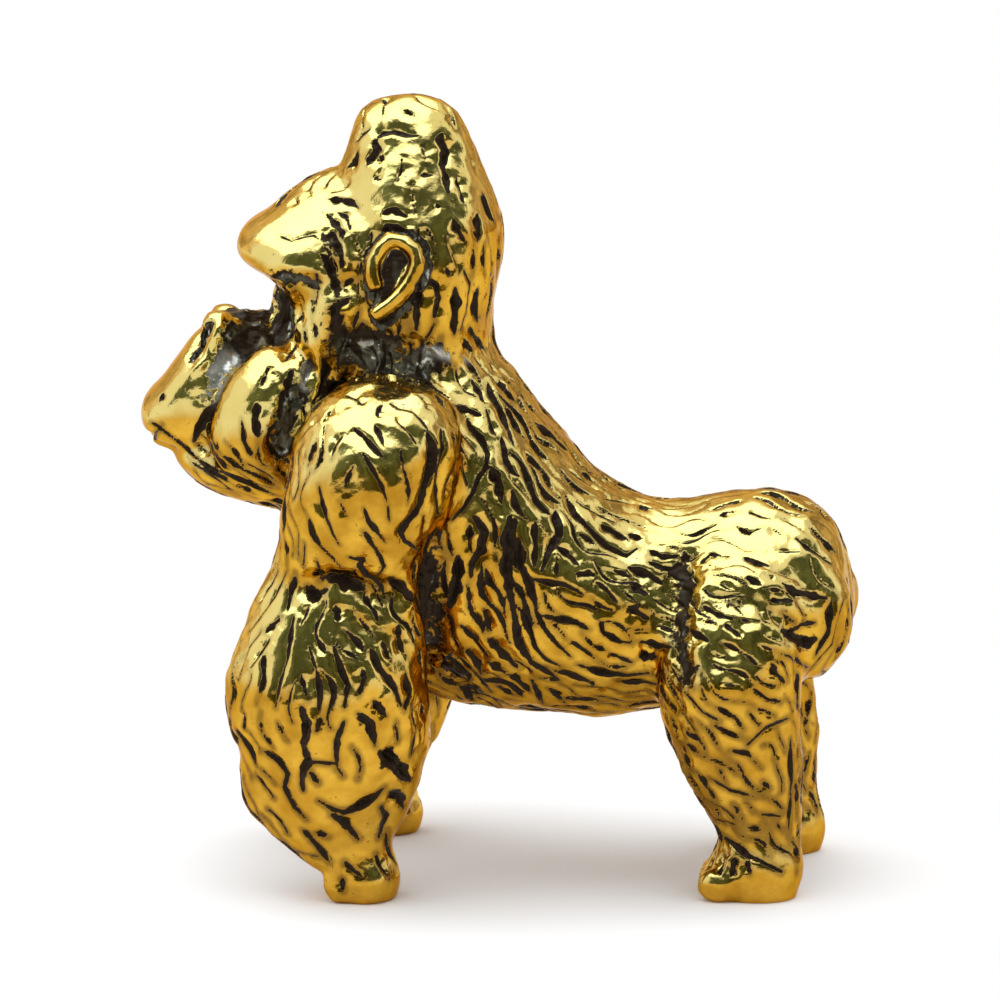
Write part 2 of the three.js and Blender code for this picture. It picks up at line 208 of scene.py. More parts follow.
SHOULDER = (
    (0.10, [(-8.9, 6.1), (-8.3, 5.8), (-7.9, 5.4)]),
    (0.08, [(-9.8, 5.2), (-10.1, 4.8), (-10.3, 4.5)]),
    (0.17, [(-8.5, 4.2), (-7.9, 3.7), (-7.3, 3), (-6.8, 2.5)]),
    (0.13, [(-6.8, 5.6), (-7.1, 5.1), (-7.1, 4.7)]),
    (0.17, [(-7.3, 4.4), (-7, 3.8), (-6.7, 3.1)]),
    (0.13, [(-6.4, 5.6), (-5.8, 5.3), (-5, 5.1), (-4.5, 4.6), (-4.2, 4.1)]),
    (0.08, [(-4.7, 6.1), (-4.3, 5.7), (-4.2, 5.2)]),
    (0.14, [(-3.7, 6.2), (-3.4, 5.8), (-3.3, 5.4)]),
    (0.27, [(-4.2, 4), (-3.9, 3.1), (-3.9, 2.3), (-4.1, 1.5), (-4.4, 0.7),
            (-4.6, -0.3), (-5.3, -1.3), (-5.7, -1.9), (-5.5, -2.4), (-4.7, -2.9)]),
    (0.23, [(-3.4, 4.2), (-3.4, 3.6), (-3.3, 3), (-3.5, 2.3), (-3.7, 1.4), (-3.7, 0.5), (-3.6, -0.8)]),
    (0.17, [(-2, 5), (-1.7, 4.3), (-1.1, 3.6), (-0.7, 2.7), (-0.8, 1.9),
            (-1.2, 1.4), (-1.5, 0.5), (-2.1, -0.5), (-2.8, -1.2)]),
    (0.17, [(-2.7, 1.7), (-3.1, 0.9), (-3.2, 0.1)]),
    (0.15, [(-8, 2.8), (-7.5, 2), (-7.1, 1.3), (-6.8, 0.7), (-6.5, -0.2), (-6.4, -1.2)]),
    (0.15, [(-10.5, 0.9), (-10.3, -0.2), (-10, -1.2), (-9.7, -2), (-9.3, -2.6)]),
    (0.17, [(-7.9, -0.5), (-7.6, -1.2), (-7.1, -1.9), (-6.6, -2.5)]),
    (0.13, [(-7.9, -1.8), (-7.4, -2.6), (-6.9, -3.3), (-6.7, -3.9), (-7, -4.5)]),
    (0.13, [(-11.1, -1), (-10.9, -2), (-10.4, -2.7), (-9.8, -3.3), (-9.1, -4.1)]),
    (0.10, [(-11.3, -2.5), (-11.4, -3.8)]),
    (0.10, [(-10.6, -3.5), (-10.5, -4.3), (-10.7, -4.8)]),
    (0.17, [(-8.8, -3.3), (-7.9, -3.5), (-8.1, -3.8), (-7.7, -4.5),
            (-7.3, -4.7), (-6.6, -5.2), (-6.5, -5.8)]),
)
CROOK = (
    (0.25, [(-10.2, -4.7), (-9.2, -4.9), (-7.9, -5.3)]),
    (0.25, [(-6.4, -4.6), (-5.7, -5), (-5, -5.8)]),
    (0.21, [(-11.3, -5.2), (-10.7, -5.5), (-10.1, -5.3)]),
)
BEHIND_ARM = (
    (0.15, [(-0.7, 6.8), (-0.4, 6), (0.2, 5), (0.5, 4.1), (0.8, 3.1)]),
    (0.20, [(-1.6, 6.9), (-1.1, 6.1), (-0.9, 5.6)]),
    (0.15, [(0.1, 3.6), (0.4, 2.3), (0.7, 1.7), (1.1, 1.4)]),
    (0.29, [(-0.5, 1.9), (-0.1, 1.1), (0.1, -0.2)]),
    (0.25, [(-1.5, -1), (-0.9, -1.8), (-1.1, -2.9), (-1.6, -3.6), (-1.7, -4.5)]),
    (0.29, [(0.6, -0.9), (0.5, -1.8), (0.3, -3.3), (0.2, -4.1)]),
    (0.35, [(-2.4, -3.3), (-2.5, -4.8), (-2.9, -6.2)]),
    (0.46, [(-3.6, -1.8), (-4, -3.3), (-4.2, -5.3), (-4.1, -7.4)]),
)
FOREARM = (
    (0.29, [(-11.4, -5.1), (-10.6, -5.9)]),
    (0.20, [(-9.5, -6.1), (-9.4, -7)]),
    (0.13, [(-11.9, -6.6), (-12.1, -7.7), (-12.3, -9.2), (-12.7, -10.4), (-13, -12)]),
    (0.17, [(-9.7, -8.4), (-9.2, -9.7), (-8.8, -10.7), (-9, -12)]),
    (0.19, [(-7.5, -8.6), (-6.9, -9.8), (-6.1, -10.8), (-5.7, -11.9)]),
    (0.13, [(-6.8, -8.2), (-6.3, -9.4)]),
    (0.16, [(-13.3, -8), (-13.9, -8.9), (-14.5, -9.8)]),
    (0.20, [(-7.3, -11.7), (-7, -12), (-6.6, -12.5)]),
    (0.27, [(-11.5, -12), (-11.2, -13), (-11.4, -14.2), (-11.1, -15.1), (-11.5, -16), (-11.4, -16.8)]),
    (0.10, [(-11.1, -15.1), (-10.3, -15.2), (-9.5, -15.3), (-9.1, -16)]),
    (0.15, [(-9, -12.8), (-9.4, -13.8), (-9.5, -14.4), (-9.4, -15.6)]),
    (0.12, [(-10.4, -12.6), (-10.6, -13.4)]),
    (0.10, [(-11, -15.7), (-10.5, -16.4)]),
    (0.27, [(-8.2, -12.4), (-7.5, -12.9), (-7.2, -14.2)]),
    (0.49, [(-6.9, -14.6), (-6.1, -15.2), (-5.2, -16.2)]),
    (0.17, [(-6.7, -16.6), (-7.2, -17.2), (-8.2, -17.8), (-9, -18.1), (-9.7, -17.9), (-10.5, -17.4)]),
    (0.27, [(-6.4, -16.9), (-5.7, -17.2), (-5.6, -17.8)]),
    (0.20, [(-9.7, -18.2), (-9, -18.7), (-8.2, -19.6)]),
    (0.19, [(-6.9, -17.7), (-6.6, -18.4), (-7, -19.5)]),
    (0.15, [(-13.7, -14.5), (-12.8, -15.1), (-12.3, -15.9), (-12.5, -16.6),
            (-11.9, -17.8), (-11.2, -18.5)]),
    (0.15, [(-14.1, -15.9), (-13.6, -16.6), (-13.1, -17.2)]),
    (0.13, [(-15.3, -13.3), (-14.5, -14.4), (-14.1, -15.3)]),
    (0.19, [(-14.8, -12.4), (-14.8, -13.2)]),
    (0.15, [(-13.4, -17.9), (-12.7, -18.6), (-12.3, -19.3)]),
    (0.15, [(-11.4, -19.1), (-10.6, -20), (-9.9, -20.9)]),
    (0.10, [(-11.8, -20.3), (-11, -20.6), (-10.5, -20.6)]),
    (0.14, [(-10.6, -19.3), (-9.9, -19.5)]),
    (0.14, [(-9, -21), (-8.4, -21.5), (-7.9, -21.8)]),
    (0.14, [(-7.2, -20.5), (-6.9, -21.2), (-6.4, -21.8)]),
    (0.14, [(-9.1, -21.9), (-9.1, -22.6)]),
    (0.17, [(-5.1, -11.9), (-4.8, -13.3), (-5.1, -14.7)]),
    (0.13, [(-5.5, -9.9), (-5.2, -11.2), (-5.5, -12.2)]),
    (0.09, [(-12.3, -4), (-13, -5.5), (-13.9, -6.8), (-14.6, -7.7)]),
    (0.10, [(-11.9, -4.2), (-12.1, -5.1), (-12.3, -6.4)]),
)
FLANK = (
    (0.14, [(2, 4.5), (3, 3.8), (3.9, 2.9)]),
    (0.19, [(3.5, 2.2), (4.4, 1.4), (5.8, 0.5)]),
    (0.13, [(6, 0.1), (7.2, -0.1), (7.9, -0.3)]),
    (0.14, [(8, -0.3), (8.8, -0.5)]),
    (0.15, [(4.4, -0.1), (5.5, -0.7), (6.6, -1.3)]),
    (0.15, [(5.8, -1.4), (6.9, -2), (7.6, -2.4)]),
    (0.14, [(7.4, -2), (8.3, -2.2)]),
    (0.15, [(8.6, -2.9), (9.4, -3.2), (10.4, -3.1)]),
    (0.19, [(8.6, -3.6), (9.5, -3.9), (10.5, -3.9)]),
    (0.15, [(3.8, 0.3), (4.4, -0.8), (5.5, -2), (6.3, -2.7), (7.3, -3.2), (7.9, -2.8)]),
    (0.19, [(7.4, -3.9), (8.6, -4.3), (9.4, -4.8)]),
    (0.19, [(7.6, -5), (8.6, -5.5)]),
    (0.19, [(7.4, -6.2), (8.6, -6.9)]),
    (0.17, [(4.4, -4.3), (5.1, -4.2), (5.6, -4.4)]),
    (0.23, [(3, -2.5), (3.8, -3.1), (4.5, -3.7)]),
    (0.15, [(2, -4.6), (3, -4.8), (3.8, -4.9), (4.9, -5.5)]),
    (0.19, [(0.7, -6.3), (0.9, -7.4), (1.1, -8.4), (1.8, -9.4), (2.7, -10), (3.4, -10.4)]),
    (0.16, [(2, -6.3), (2.5, -7.4), (3.4, -8.5), (4.1, -9.1)]),
    (0.15, [(2.5, -6.7), (3.4, -6.9), (4.4, -7.1), (5.2, -7.5)]),
    (0.15, [(4.1, -8.2), (4.9, -8.7), (5.5, -9.2)]),
    (0.15, [(5.8, -7), (6, -7.7), (6.9, -8.2), (7.6, -8.3)]),
    (0.13, [(6.3, -8.9), (7.6, -9.4)]),
    (0.20, [(8.1, -8.2), (9.7, -8.5)]),
    (0.20, [(8.1, -9.1), (9, -9.1)]),
    (0.14, [(4.4, -9.5), (5.8, -10), (7.4, -10.2), (8.6, -10)]),
    (0.20, [(-0.7, -8), (0.2, -9), (1, -9.7)]),
    (0.27, [(-2.2, -7.3), (-1.5, -8.1), (-0.7, -9.1)]),
    (0.24, [(-2.4, -9.1), (-1.2, -10.4), (-0.5, -11.1)]),
    (0.19, [(0.6, -10.1), (1.7, -11.1)]),
    (0.14, [(1.8, -10.4), (2.3, -11.5), (2.5, -11.9)]),
    (0.14, [(2.8, -10.9), (3.8, -11.8)]),
    (0.29, [(0.9, -1.1), (0.7, -2.7), (0.3, -3.9), (0.6, -5.6), (0.9, -6.9)]),
    (0.20, [(2, -1.3), (2.1, -2.7), (2, -3.8)]),
    (0.29, [(1.1, -2.2), (1.1, -3.8), (1.7, -4.9), (2.1, -6.2)]),
    (0.24, [(3.2, -0.6), (3.5, -2), (2.8, -3.1), (2.4, -4.1)]),
)
RUMP = (
    (0.10, [(11.5, -3.6), (12.2, -3.1), (13.3, -3.3)]),
    (0.08, [(13.6, -1.5), (14.4, -1.9), (15.1, -1.6)]),
    (0.14, [(14.4, -0.7), (15.6, -1.1)]),
    (0.16, [(17.1, -2.2), (18.2, -3), (19.2, -3.7)]),
    (0.08, [(15.9, -3), (17.3, -3)]),
    (0.17, [(14.1, -3.3), (15.6, -3.8)]),
    (0.19, [(16.3, -4.8), (17.1, -5.3), (18.9, -5.7)]),
    (0.42, [(16.4, -7.6), (17.1, -8), (17.8, -8.3), (18.2, -8.1)]),
    (0.14, [(17, -7.7), (17.5, -7.2), (18.2, -7.1)]),
    (0.17, [(15.6, -5.8), (17, -5.8)]),
    (0.14, [(11.6, -6.1), (12.7, -6.6), (13.6, -6.9)]),
    (0.16, [(13, -7.2), (14, -8)]),
    (0.16, [(14.3, -4.4), (15.1, -4.9)]),
    (0.19, [(10.8, -7.4), (12.1, -8.2)]),
    (0.13, [(19.2, -5.7), (19, -7.7), (18.2, -9)]),
    (0.10, [(19.9, -5.7), (19.2, -8.4), (17.6, -10.2)]),
)
LEG = (
    (0.23, [(15.7, -9.4), (15.9, -9.9), (16.5, -10.6)]),
    (0.17, [(14.6, -10.9), (15.4, -11.5), (16.3, -11.7)]),
    (0.15, [(12.5, -12), (13.6, -12.6), (14.1, -13.3)]),
    (0.17, [(13.3, -14.5), (14.3, -14.7), (15.1, -15.5)]),
    (0.17, [(14.3, -14.2), (15.4, -13.2), (16.7, -12.6)]),
    (0.15, [(12.1, -16.1), (13.3, -16.8), (14.8, -17.2)]),
    (0.14, [(12.4, -18.5), (13.6, -18.8)]),
    (0.10, [(13.5, -17.6), (14, -18.5)]),
    (0.15, [(15.1, -18.2), (16.2, -18.3)]),
    (0.17, [(15.2, -16.3), (15.6, -16.7)]),
    (0.14, [(10.6, -11.1), (11.7, -12.3), (12.7, -12.8)]),
    (0.14, [(10.5, -12.3), (11.3, -13.4)]),
    (0.14, [(10.8, -14.1), (11.4, -14.7)]),
    (0.14, [(11.3, -15.7), (12.5, -17.4)]),
    (0.22, [(12.9, -19.5), (14.4, -20.6), (16.3, -21.5)]),
    (0.10, [(16.8, -13.8), (16.9, -16.3), (16.7, -19.5)]),
)
TOES = (
    (0.13, [(12.5, -20.3), (12.1, -21.4)]),
    (0.16, [(13, -20.5), (12.7, -21.7)]),
    (0.16, [(13.6, -20.6), (13.3, -21.9)]),
    (0.16, [(14.3, -20.9), (14.4, -21.6)]),
)
# How bold the strokes of each group are cut.
BOLDNESS = (
    (BROW, 1.25), (FACE, 1.0), (BEARD, 0.9), (CHEEK, 1.1), (CROWN, 1.2), (NAPE, 1.0), (SHOULDER, 0.8),
    (CROOK, 1.25), (BEHIND_ARM, 1.0), (FOREARM, 0.95), (FLANK, 0.95), (RUMP, 0.9), (LEG, 0.6), (TOES, 1.1),
)

# The line between the lips: how high it is at the front of the muzzle, and how long.
LIPS_HIGH = 25.0
LIPS_LONG = 8.0

# Broad hollows: (half width, depth, darkness, line). A ridge is a hollow of negative depth.
HOLLOWS = (
    (1.6, 0.55, 1.0, [(-11, 8.6), (-9.5, 8.5), (-8, 8.3), (-6.5, 8.3), (-4.5, 8.0), (-2.2, 7.9)]),
    (0.9, 0.4, 1.1, [(-11.3, 7.4), (-11.8, 6), (-12.5, 3.8), (-13.1, 1.4)]),
    (0.45, 0.15, 0.75, [(-10.4, 16.4), (-9.8, 15), (-9.7, 13.6), (-9.3, 12.2), (-9.4, 10.6)]),
    (0.5, 0.25, 1.0, [(-14.6, 13.1), (-13.4, 12.7), (-12.4, 12.8), (-11.2, 12.7), (-10, 12.1)]),
    (0.9, 0.4, 1.3, [(-12.9, 12.8), (-12.8, 12), (-12.6, 11), (-12.8, 9.8), (-13.4, 8.6)]),
    (1.2, 0.4, 1.3, [(-13.2, 12.2), (-13.9, 10.4), (-15, 9), (-16.2, 8.4)]),
    (0.9, 0.3, 0.9, [(-15, 10), (-15.6, 8.8), (-16.2, 7.4), (-16.9, 5.6), (-17.2, 4.6)]),
    (0.55, 0.0, 1.5, [(-16.1, 11.0), (-15.4, 10.9), (-14.5, 10.7), (-13.6, 10.8), (-12.9, 11.2)]),
    (0.3, 0.2, 1.5, [(-16.6, 10.6), (-16.9, 10), (-17.2, 9.1), (-17.6, 8.5), (-18.1, 7.8)]),
    (0.7, 0.45, 0.85, [(-3.6, -1), (-3.7, -2.4), (-3.9, -5.3), (-4, -9.5), (-3.6, -11)]),
    (0.9, 0.25, 0.75, [(-3.4, -9), (-2.6, -10.4), (-1.2, -11.5)]),
    (0.9, 0.4, 0.86, [(10.8, -2), (10.5, -4), (10.4, -6), (10.3, -9), (10.9, -11.8)]),
    (0.7, 0.5, 0.6, [(-12.6, -5.2), (-11, -4.9), (-9.6, -4.7), (-7.4, -5.1), (-5, -6)]),
    (0.8, 0.3, 0.5, [(11.2, -6.2), (12.6, -5.9), (14.2, -5.9), (16, -6.6), (17.4, -7.6)]),
    (0.2, -0.3, 0.0, [(-14.8, 14.0), (-13.2, 13.2), (-12.0, 12.2), (-11.6, 11.2), (-11.6, 10.0),
                       (-12, 8.9)]),
    (0.25, -0.25, 0.0, [(-16.0, 10.8), (-16.3, 9.8), (-17.0, 8.1), (-18.2, 6.9)]),
)

# Where a silvery sheen, a painted highlight, is laid over the dark hollows: (half width, line).
SHEEN = (
    (0.58, [(-17.4, 5.6), (-16.6, 6.9), (-15.9, 7.8), (-15.0, 8.8)]),
    (0.3, [(-11.8, 8.4), (-11.3, 7.4), (-11.0, 6.2)]),
    (0.25, [(-4.6, 8.8), (-3.0, 8.4), (-1.6, 7.9)]),
)

# Which way the fur is combed on each casting: (x, z, degrees down from +x).
TRUNK_COMB = (
    (-3, 30, 55), (0, 28, 58), (1, 24, 70), (-1, 20, 85), (-2, 14, 88), (4, 25, 45), (3.5, 20, 65),
    (3, 14, 62), (2, 11, 50), (7, 20, 28), (7, 16, 28), (6, 12, 35), (9, 20.5, 10), (10, 17, 20),
    (9, 12.5, 18), (13, 21, 0), (15, 18, 12), (19, 19, 55), (20, 15, 95), (17, 13, 40), (-10, 22, 90),
    (-11, 18, 90),
)
HEAD_COMB = (
    (-5, 43, 60), (-2.5, 41, 75), (-1.5, 37, 80), (-3, 34, 85), (-1, 32, 75), (-4, 31, 80), (-7, 40, 110),
    (-8.5, 38.5, 150), (-9, 36, 60), (-9.5, 38, 20), (-9, 32, 100), (-12, 27, 95), (-14, 22.5, 30),
    (-17, 24, 35), (-10, 23, 25),
)
ARM_COMB = (
    (-8, 28, 100), (-8, 24, 75), (-9.5, 21, 75), (-4, 24, 95), (-12, 17, 115), (-13.5, 12, 100),
    (-12, 8, 62), (-9, 12, 80), (-6, 15, 65), (-5, 10, 90), (-8, 5, 55), (-6, 3, 60),
)
LEG_COMB = (
    (11.5, 12, 50), (12, 8, 50), (14, 13, 30), (15, 16, 35), (16, 10, 20), (14, 6, 30), (17, 8, 85),
)


def ease(low, high, value):
    """0 below low, 1 above high, and a smooth rise between."""
    t = np.clip((value - low) / (high - low), 0.0, 1.0)
    return t * t * (3 - 2 * t)


def bell(value, width):
    """1 in the middle, falling away to both sides."""
    return np.exp(-(value / width) ** 2)


def per_casting(values):
    """A value for each casting, in the castings' order."""
    return np.array([values[name] for name in CASTINGS], float)


# Castings: one fine surface over the solids

def fine_surface(nodes, swelling):
    """The points and faces of one fine surface round some solids, swollen to close their seams."""
    solid = bmesh.new()
    for node in nodes:
        solid.from_mesh(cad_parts[node].data)
    bmesh.ops.remove_doubles(solid, verts=solid.verts, dist=SAME_POINT * MM)
    mesh = bpy.data.meshes.new("rough")
    solid.to_mesh(mesh)
    solid.free()
    rough = bpy.data.objects.new("rough", mesh)
    bpy.context.scene.collection.objects.link(rough)
    swell = rough.modifiers.new("swell", "DISPLACE")
    swell.mid_level = 0.0
    swell.strength = swelling * MM
    cut = rough.modifiers.new("cut", "REMESH")
    cut.mode = "VOXEL"
    cut.voxel_size = GRAIN * MM
    fine = rough.evaluated_get(bpy.context.evaluated_depsgraph_get()).to_mesh()
    points = np.zeros(len(fine.vertices) * 3, np.float32)
    fine.vertices.foreach_get("co", points)
    faces = np.zeros(len(fine.loops), np.int32)
    fine.loops.foreach_get("vertex_index", faces)
    bpy.data.objects.remove(rough)
    bpy.data.meshes.remove(mesh)
    return points.reshape(-1, 3).astype(float) / MM, faces.reshape(-1, 4)


def nearest_casting(points):
    """For each point, which of the body's castings it is on."""
    places, corners, owners = [], [], []
    for k, name in enumerate(BODY):
        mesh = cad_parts[name].data
        start = len(places)
        places += [v.co / MM for v in mesh.vertices]
        for face in mesh.polygons:
            corners.append([start + v for v in face.vertices])
            owners.append(k)
    solids = BVHTree.FromPolygons(places, corners)
    return np.array([owners[solids.find_nearest(p)[2]] for p in points.tolist()])


def face_sides(faces):
    """The four sides of each face, in the order that its corners run."""
    return np.concatenate([faces[:, [k, (k + 1) % 4]] for k in range(4)])


def connected(edges):
    """Which connected group each edge is in, counted from 0."""
    leader = list(range(edges.max() + 1))

    def lead(point):
        while leader[point] != point:
            leader[point] = leader[leader[point]]
            point = leader[point]
        return point

    for a, b in edges.tolist():
        leader[lead(a)] = lead(b)
    groups = {}
    return np.array([groups.setdefault(lead(a), len(groups)) for a, _ in edges.tolist()])


def closings(rim, meeting, points):
    """The straight edges that close a rim between the points where three castings meet."""
    starts, ends = set(rim[:, 0].tolist()), set(rim[:, 1].tolist())
    made = []
    for end in sorted(ends - starts):
        same = [v for v in sorted(starts - ends) if meeting[v] == meeting[end]]
        made.append([end, min(same, key=lambda v: np.linalg.norm(points[v] - points[end]))])
    return made


class Skin:
    """The whole figure's surface, in millimetres, so that a stroke can run from one casting to the next."""

    def __init__(self):
        points, faces = fine_surface(BODY + RODS, SEAM_HALF)
        self.owner = nearest_casting(points)
        for k, ear in enumerate(EARS):
            ear_points, ear_faces = fine_surface([ear], EAR_SWELLING)
            faces = np.concatenate([faces, ear_faces + len(points)])
            points = np.concatenate([points, ear_points])
            self.owner = np.concatenate([self.owner, np.full(len(ear_points), len(BODY) + k)])
        self.points, self.faces = points, faces
        self.edges = np.unique(np.sort(face_sides(faces), axis=1), axis=0)
        self.degree = np.bincount(self.edges.ravel(), minlength=len(points))
        # What carving does at each point: how deep it cuts and sinks, what it leaves for the finish, and
        # where a sheen is painted.
        self.trench, self.sunk, self.mark, self.sheen = np.zeros((4, len(points)))
        # How far each point is from the nearest stroke: at first, further than any gap between strokes.
        self.clear = np.full(len(points), 9.0)

    def normals_now(self):
        """Each point's normal, from the faces round it."""
        corners = self.points[self.faces]
        facing = np.cross(corners[:, 2] - corners[:, 0], corners[:, 3] - corners[:, 1])
        normals = np.zeros_like(self.points)
        for axis in range(3):
            for corner in range(4):
                normals[:, axis] += np.bincount(self.faces[:, corner], facing[:, axis], len(normals))
        return normals / np.linalg.norm(normals, axis=1, keepdims=True).clip(1e-9)

    def mean_round(self, values):
        """Each point's mean of a value over its neighbours."""
        a, b = self.edges.T
        size = len(values)
        return (np.bincount(a, values[b], size) + np.bincount(b, values[a], size)) / self.degree

    def spread(self, values, passes):
        """Evens out a value over the surface, further with each pass."""
        for _ in range(passes):
            values = 0.5 * values + 0.5 * self.mean_round(values)
        return values

    def on_face(self, low, high):
        """1 on the face, falling to 0 over the head between two distances forward."""
        return (self.owner == BODY.index("head")) * ease(low, high, -self.points[:, 0])

    def polish(self):
        """Smooths each casting, and blends the castings where they meet."""
        a, b = self.edges.T
        joint = np.zeros(len(self.points))
        apart = self.owner[a] != self.owner[b]
        joint[a[apart]] = joint[b[apart]] = 1.0
        rings = round(JOINT_REACH / GRAIN)
        for _ in range(rings):
            wider = joint.copy()
            np.maximum.at(wider, a, joint[b] - 1 / rings)
            np.maximum.at(wider, b, joint[a] - 1 / rings)
            joint = wider
        times = per_casting(POLISH)[self.owner]
        limb = np.isin(self.owner, [BODY.index(name) for name in LIMBS])
        digits = limb * (1 - ease(*DIGITS_TOP, self.points[:, 2]))
        times = times * (1 - digits) + POLISH_DIGITS * digits
        times = (times + POLISH_JOINTS * joint ** 2) * (POLISH_GRAIN / GRAIN) ** 2
        for k in range(int(times.max())):
            share = 0.5 * np.clip(times - k, 0, 1)
            for axis in range(3):
                values = self.points[:, axis]
                values += share * (self.mean_round(values) - values)

    def hand_work(self):
        """Raises low lumps, slighter on the face and ears, and finds how ragged the strokes' edges are."""
        lumps = np.zeros(len(self.points))
        self.ragged = np.zeros(len(self.points))
        for i, place in enumerate(self.points.tolist()):
            spot = Vector(place)
            self.ragged[i] = noise.noise(spot / RAGGED_BREADTH)
            for breadth, height, start in LUMPS:
                lumps[i] += height * noise.noise(spot / breadth + Vector(start))
        share = per_casting(LUMPY)[self.owner] - LESS_LUMPY_FACE * self.on_face(7, 10)
        self.points += self.normals_now() * (lumps * share)[:, None]

    def settle(self):
        """Makes what strokes are laid with, once the points have moved."""
        self.normals = self.normals_now()
        self.tree = BVHTree.FromPolygons(self.points.tolist(), self.faces.tolist())
        cells = np.floor(self.points).astype(int)
        order = np.lexsort(cells.T)
        breaks = np.flatnonzero((np.diff(cells[order], axis=0) != 0).any(1)) + 1
        self.cells = {tuple(cells[group[0]]): group for group in np.split(order, breaks)}

    def around(self, places, reach):
        """The points that lie in the cells within reach of some places."""
        low = np.floor(places - reach).astype(int)
        high = np.floor(places + reach).astype(int)
        keys = {(x, y, z) for (x0, y0, z0), (x1, y1, z1) in zip(low.tolist(), high.tolist())
                for x in range(x0, x1 + 1) for y in range(y0, y1 + 1) for z in range(z0, z1 + 1)}
        groups = [self.cells[key] for key in sorted(keys) if key in self.cells]
        return np.concatenate(groups) if groups else np.zeros(0, int)

    def find_recesses(self, rays=24, reach=4.5, every=9, lift=0.25, lean=1.05, passes=14):
        """How far each point is shut in by what stands round it, from 0 in the open to 1."""
        ways = []
        for _ in range(rays):
            ways.append(Vector((luck.gauss(0, 1), luck.gauss(0, 1), luck.gauss(0, 1))).normalized())
        known = np.zeros(len(self.points))
        level = np.zeros(len(self.points))
        for i in range(0, len(self.points), every):
            up = Vector(self.normals[i])
            place = Vector(self.points[i]) + up * lift
            found = [self.tree.ray_cast(place, (up * lean + way).normalized(), reach)[0] for way in ways]
            level[i] = sum(hit is not None for hit in found) / rays
            known[i] = 1.0
        self.recess = self.spread(level, passes) / self.spread(known, passes).clip(1e-6)

    def near_path(self, path, reach):
        """The points within reach of a path: how far off, how far along it, and on which side they are."""
        places = np.array([place for place, _ in path])
        ups = np.array([up for _, up in path])
        near = self.around(places, reach)
        gaps = np.linalg.norm(self.points[near][:, None] - places[None], axis=2)
        at = gaps.argmin(1)
        gap = gaps[np.arange(len(near)), at]
        keep = (gap < reach) & ((self.normals[near] * ups[at]).sum(1) > SAME_FACING)
        near, gap, at = near[keep], gap[keep], at[keep]
        across = np.cross(ups, np.gradient(places, axis=0))
        side = np.sign(((self.points[near] - places[at]) * across[at]).sum(1))
        return near, gap, at / (len(path) - 1), side

    def carve(self, path, width, depth, blunt):
        """Cuts one stroke along a path, like the gap beside a tuft: one edge stands up, the other sinks."""
        near, gap, along, side = self.near_path(path, max(4 * width, 1.3))
        # A stroke starts short and runs out long, unless it is blunt, and its depth wavers.
        taper = np.clip(along / 0.25, 0, 1) ** 0.6 * np.clip((1 - along) / 0.7, 0, 1) ** 0.6
        taper = np.maximum(taper, blunt * np.clip(np.minimum(along, 1 - along) / 0.2, 0, 1) ** 0.7)
        taper *= 0.75 + 0.25 * np.sin(along * luck.uniform(7, 15) + luck.uniform(0, 6))
        off = gap / (width * (1 + RAGGED_SHARE * self.ragged[near]))
        # A narrow slot lies in a soft valley.
        shape = 0.7 * bell(off, 0.9) + 0.3 * bell(gap, 0.42)
        self.trench[near] = np.maximum(self.trench[near], depth * taper * shape)
        self.sunk[near] += 0.5 * depth * taper * bell(gap, 0.3 + 1.5 * width) * side * luck.choice((-1, 1))
        self.mark[near] = np.maximum(self.mark[near], 0.5 + 0.5 * taper - 0.5 * off)
        self.clear[near] = np.minimum(self.clear[near], gap)

    def band(self, path, width, fade):
        """The points in a soft band along a path, and how strong it is there, fading out at its ends."""
        near, gap, along, _ = self.near_path(path, 2.4 * width)
        return near, bell(gap, width) * ease(0, fade, np.minimum(along, 1 - along))

    def sink(self, path, width, depth, dark):
        """Presses a broad soft hollow along a path, and darkens it."""
        near, shape = self.band(path, width, 0.22)
        self.sunk[near] += depth * shape
        self.recess[near] = np.maximum(self.recess[near], dark * shape ** 0.6)

    def paint_sheen(self, path, width):
        """Paints a silvery sheen, a painted highlight, along a path."""
        near, shape = self.band(path, width, 0.25)
        self.sheen[near] = np.maximum(self.sheen[near], shape)

    def press(self, line, side):
        """A line drawn in the view, pressed onto the skin of one side of the figure."""
        flip = Vector((1, -side, 1))
        eye = (VIEW_MIDDLE + VIEW_BACK * VIEW_AWAY) * flip
        path = []
        for (u0, v0), (u1, v1) in zip(line, line[1:]):
            count = max(2, round(math.hypot(u1 - u0, v1 - v0) / PRESS_STEP))
            for k in range(count + 1):
                t = k / count
                place = VIEW_MIDDLE + VIEW_RIGHT * (u0 + (u1 - u0) * t) + VIEW_UP * (v0 + (v1 - v0) * t)
                found = self.tree.ray_cast(eye, (place * flip - eye).normalized())
                if found[0] is not None:
                    path.append((found[0], found[1]))
        return path

    def trace(self, place, up, length, lay, wave, room, step=0.16):
        """A path over the skin through a place, following the combing in a slow wave, while it has room."""
        swing, start, rate = wave
        halves = []
        for way in (-1, 1):
            spot, normal, half = Vector(place), Vector(up), []
            for k in range(round(length / 2 / step)):
                turn = swing * math.sin(start + way * k * step * rate)
                along = Matrix.Rotation(turn, 3, normal) @ lay(spot)
                along -= normal * along.dot(normal)
                if along.length < 0.15:
                    break
                found = self.tree.find_nearest(spot + along.normalized() * (way * step))
                if (found[0] - spot).length < 0.3 * step or self.clear[self.faces[found[2], 0]] < room:
                    break
                spot, normal = found[0], found[1]
                half.append((spot, normal))
            halves.append(half)
        return halves[0][::-1] + [(Vector(place), Vector(up))] + halves[1]

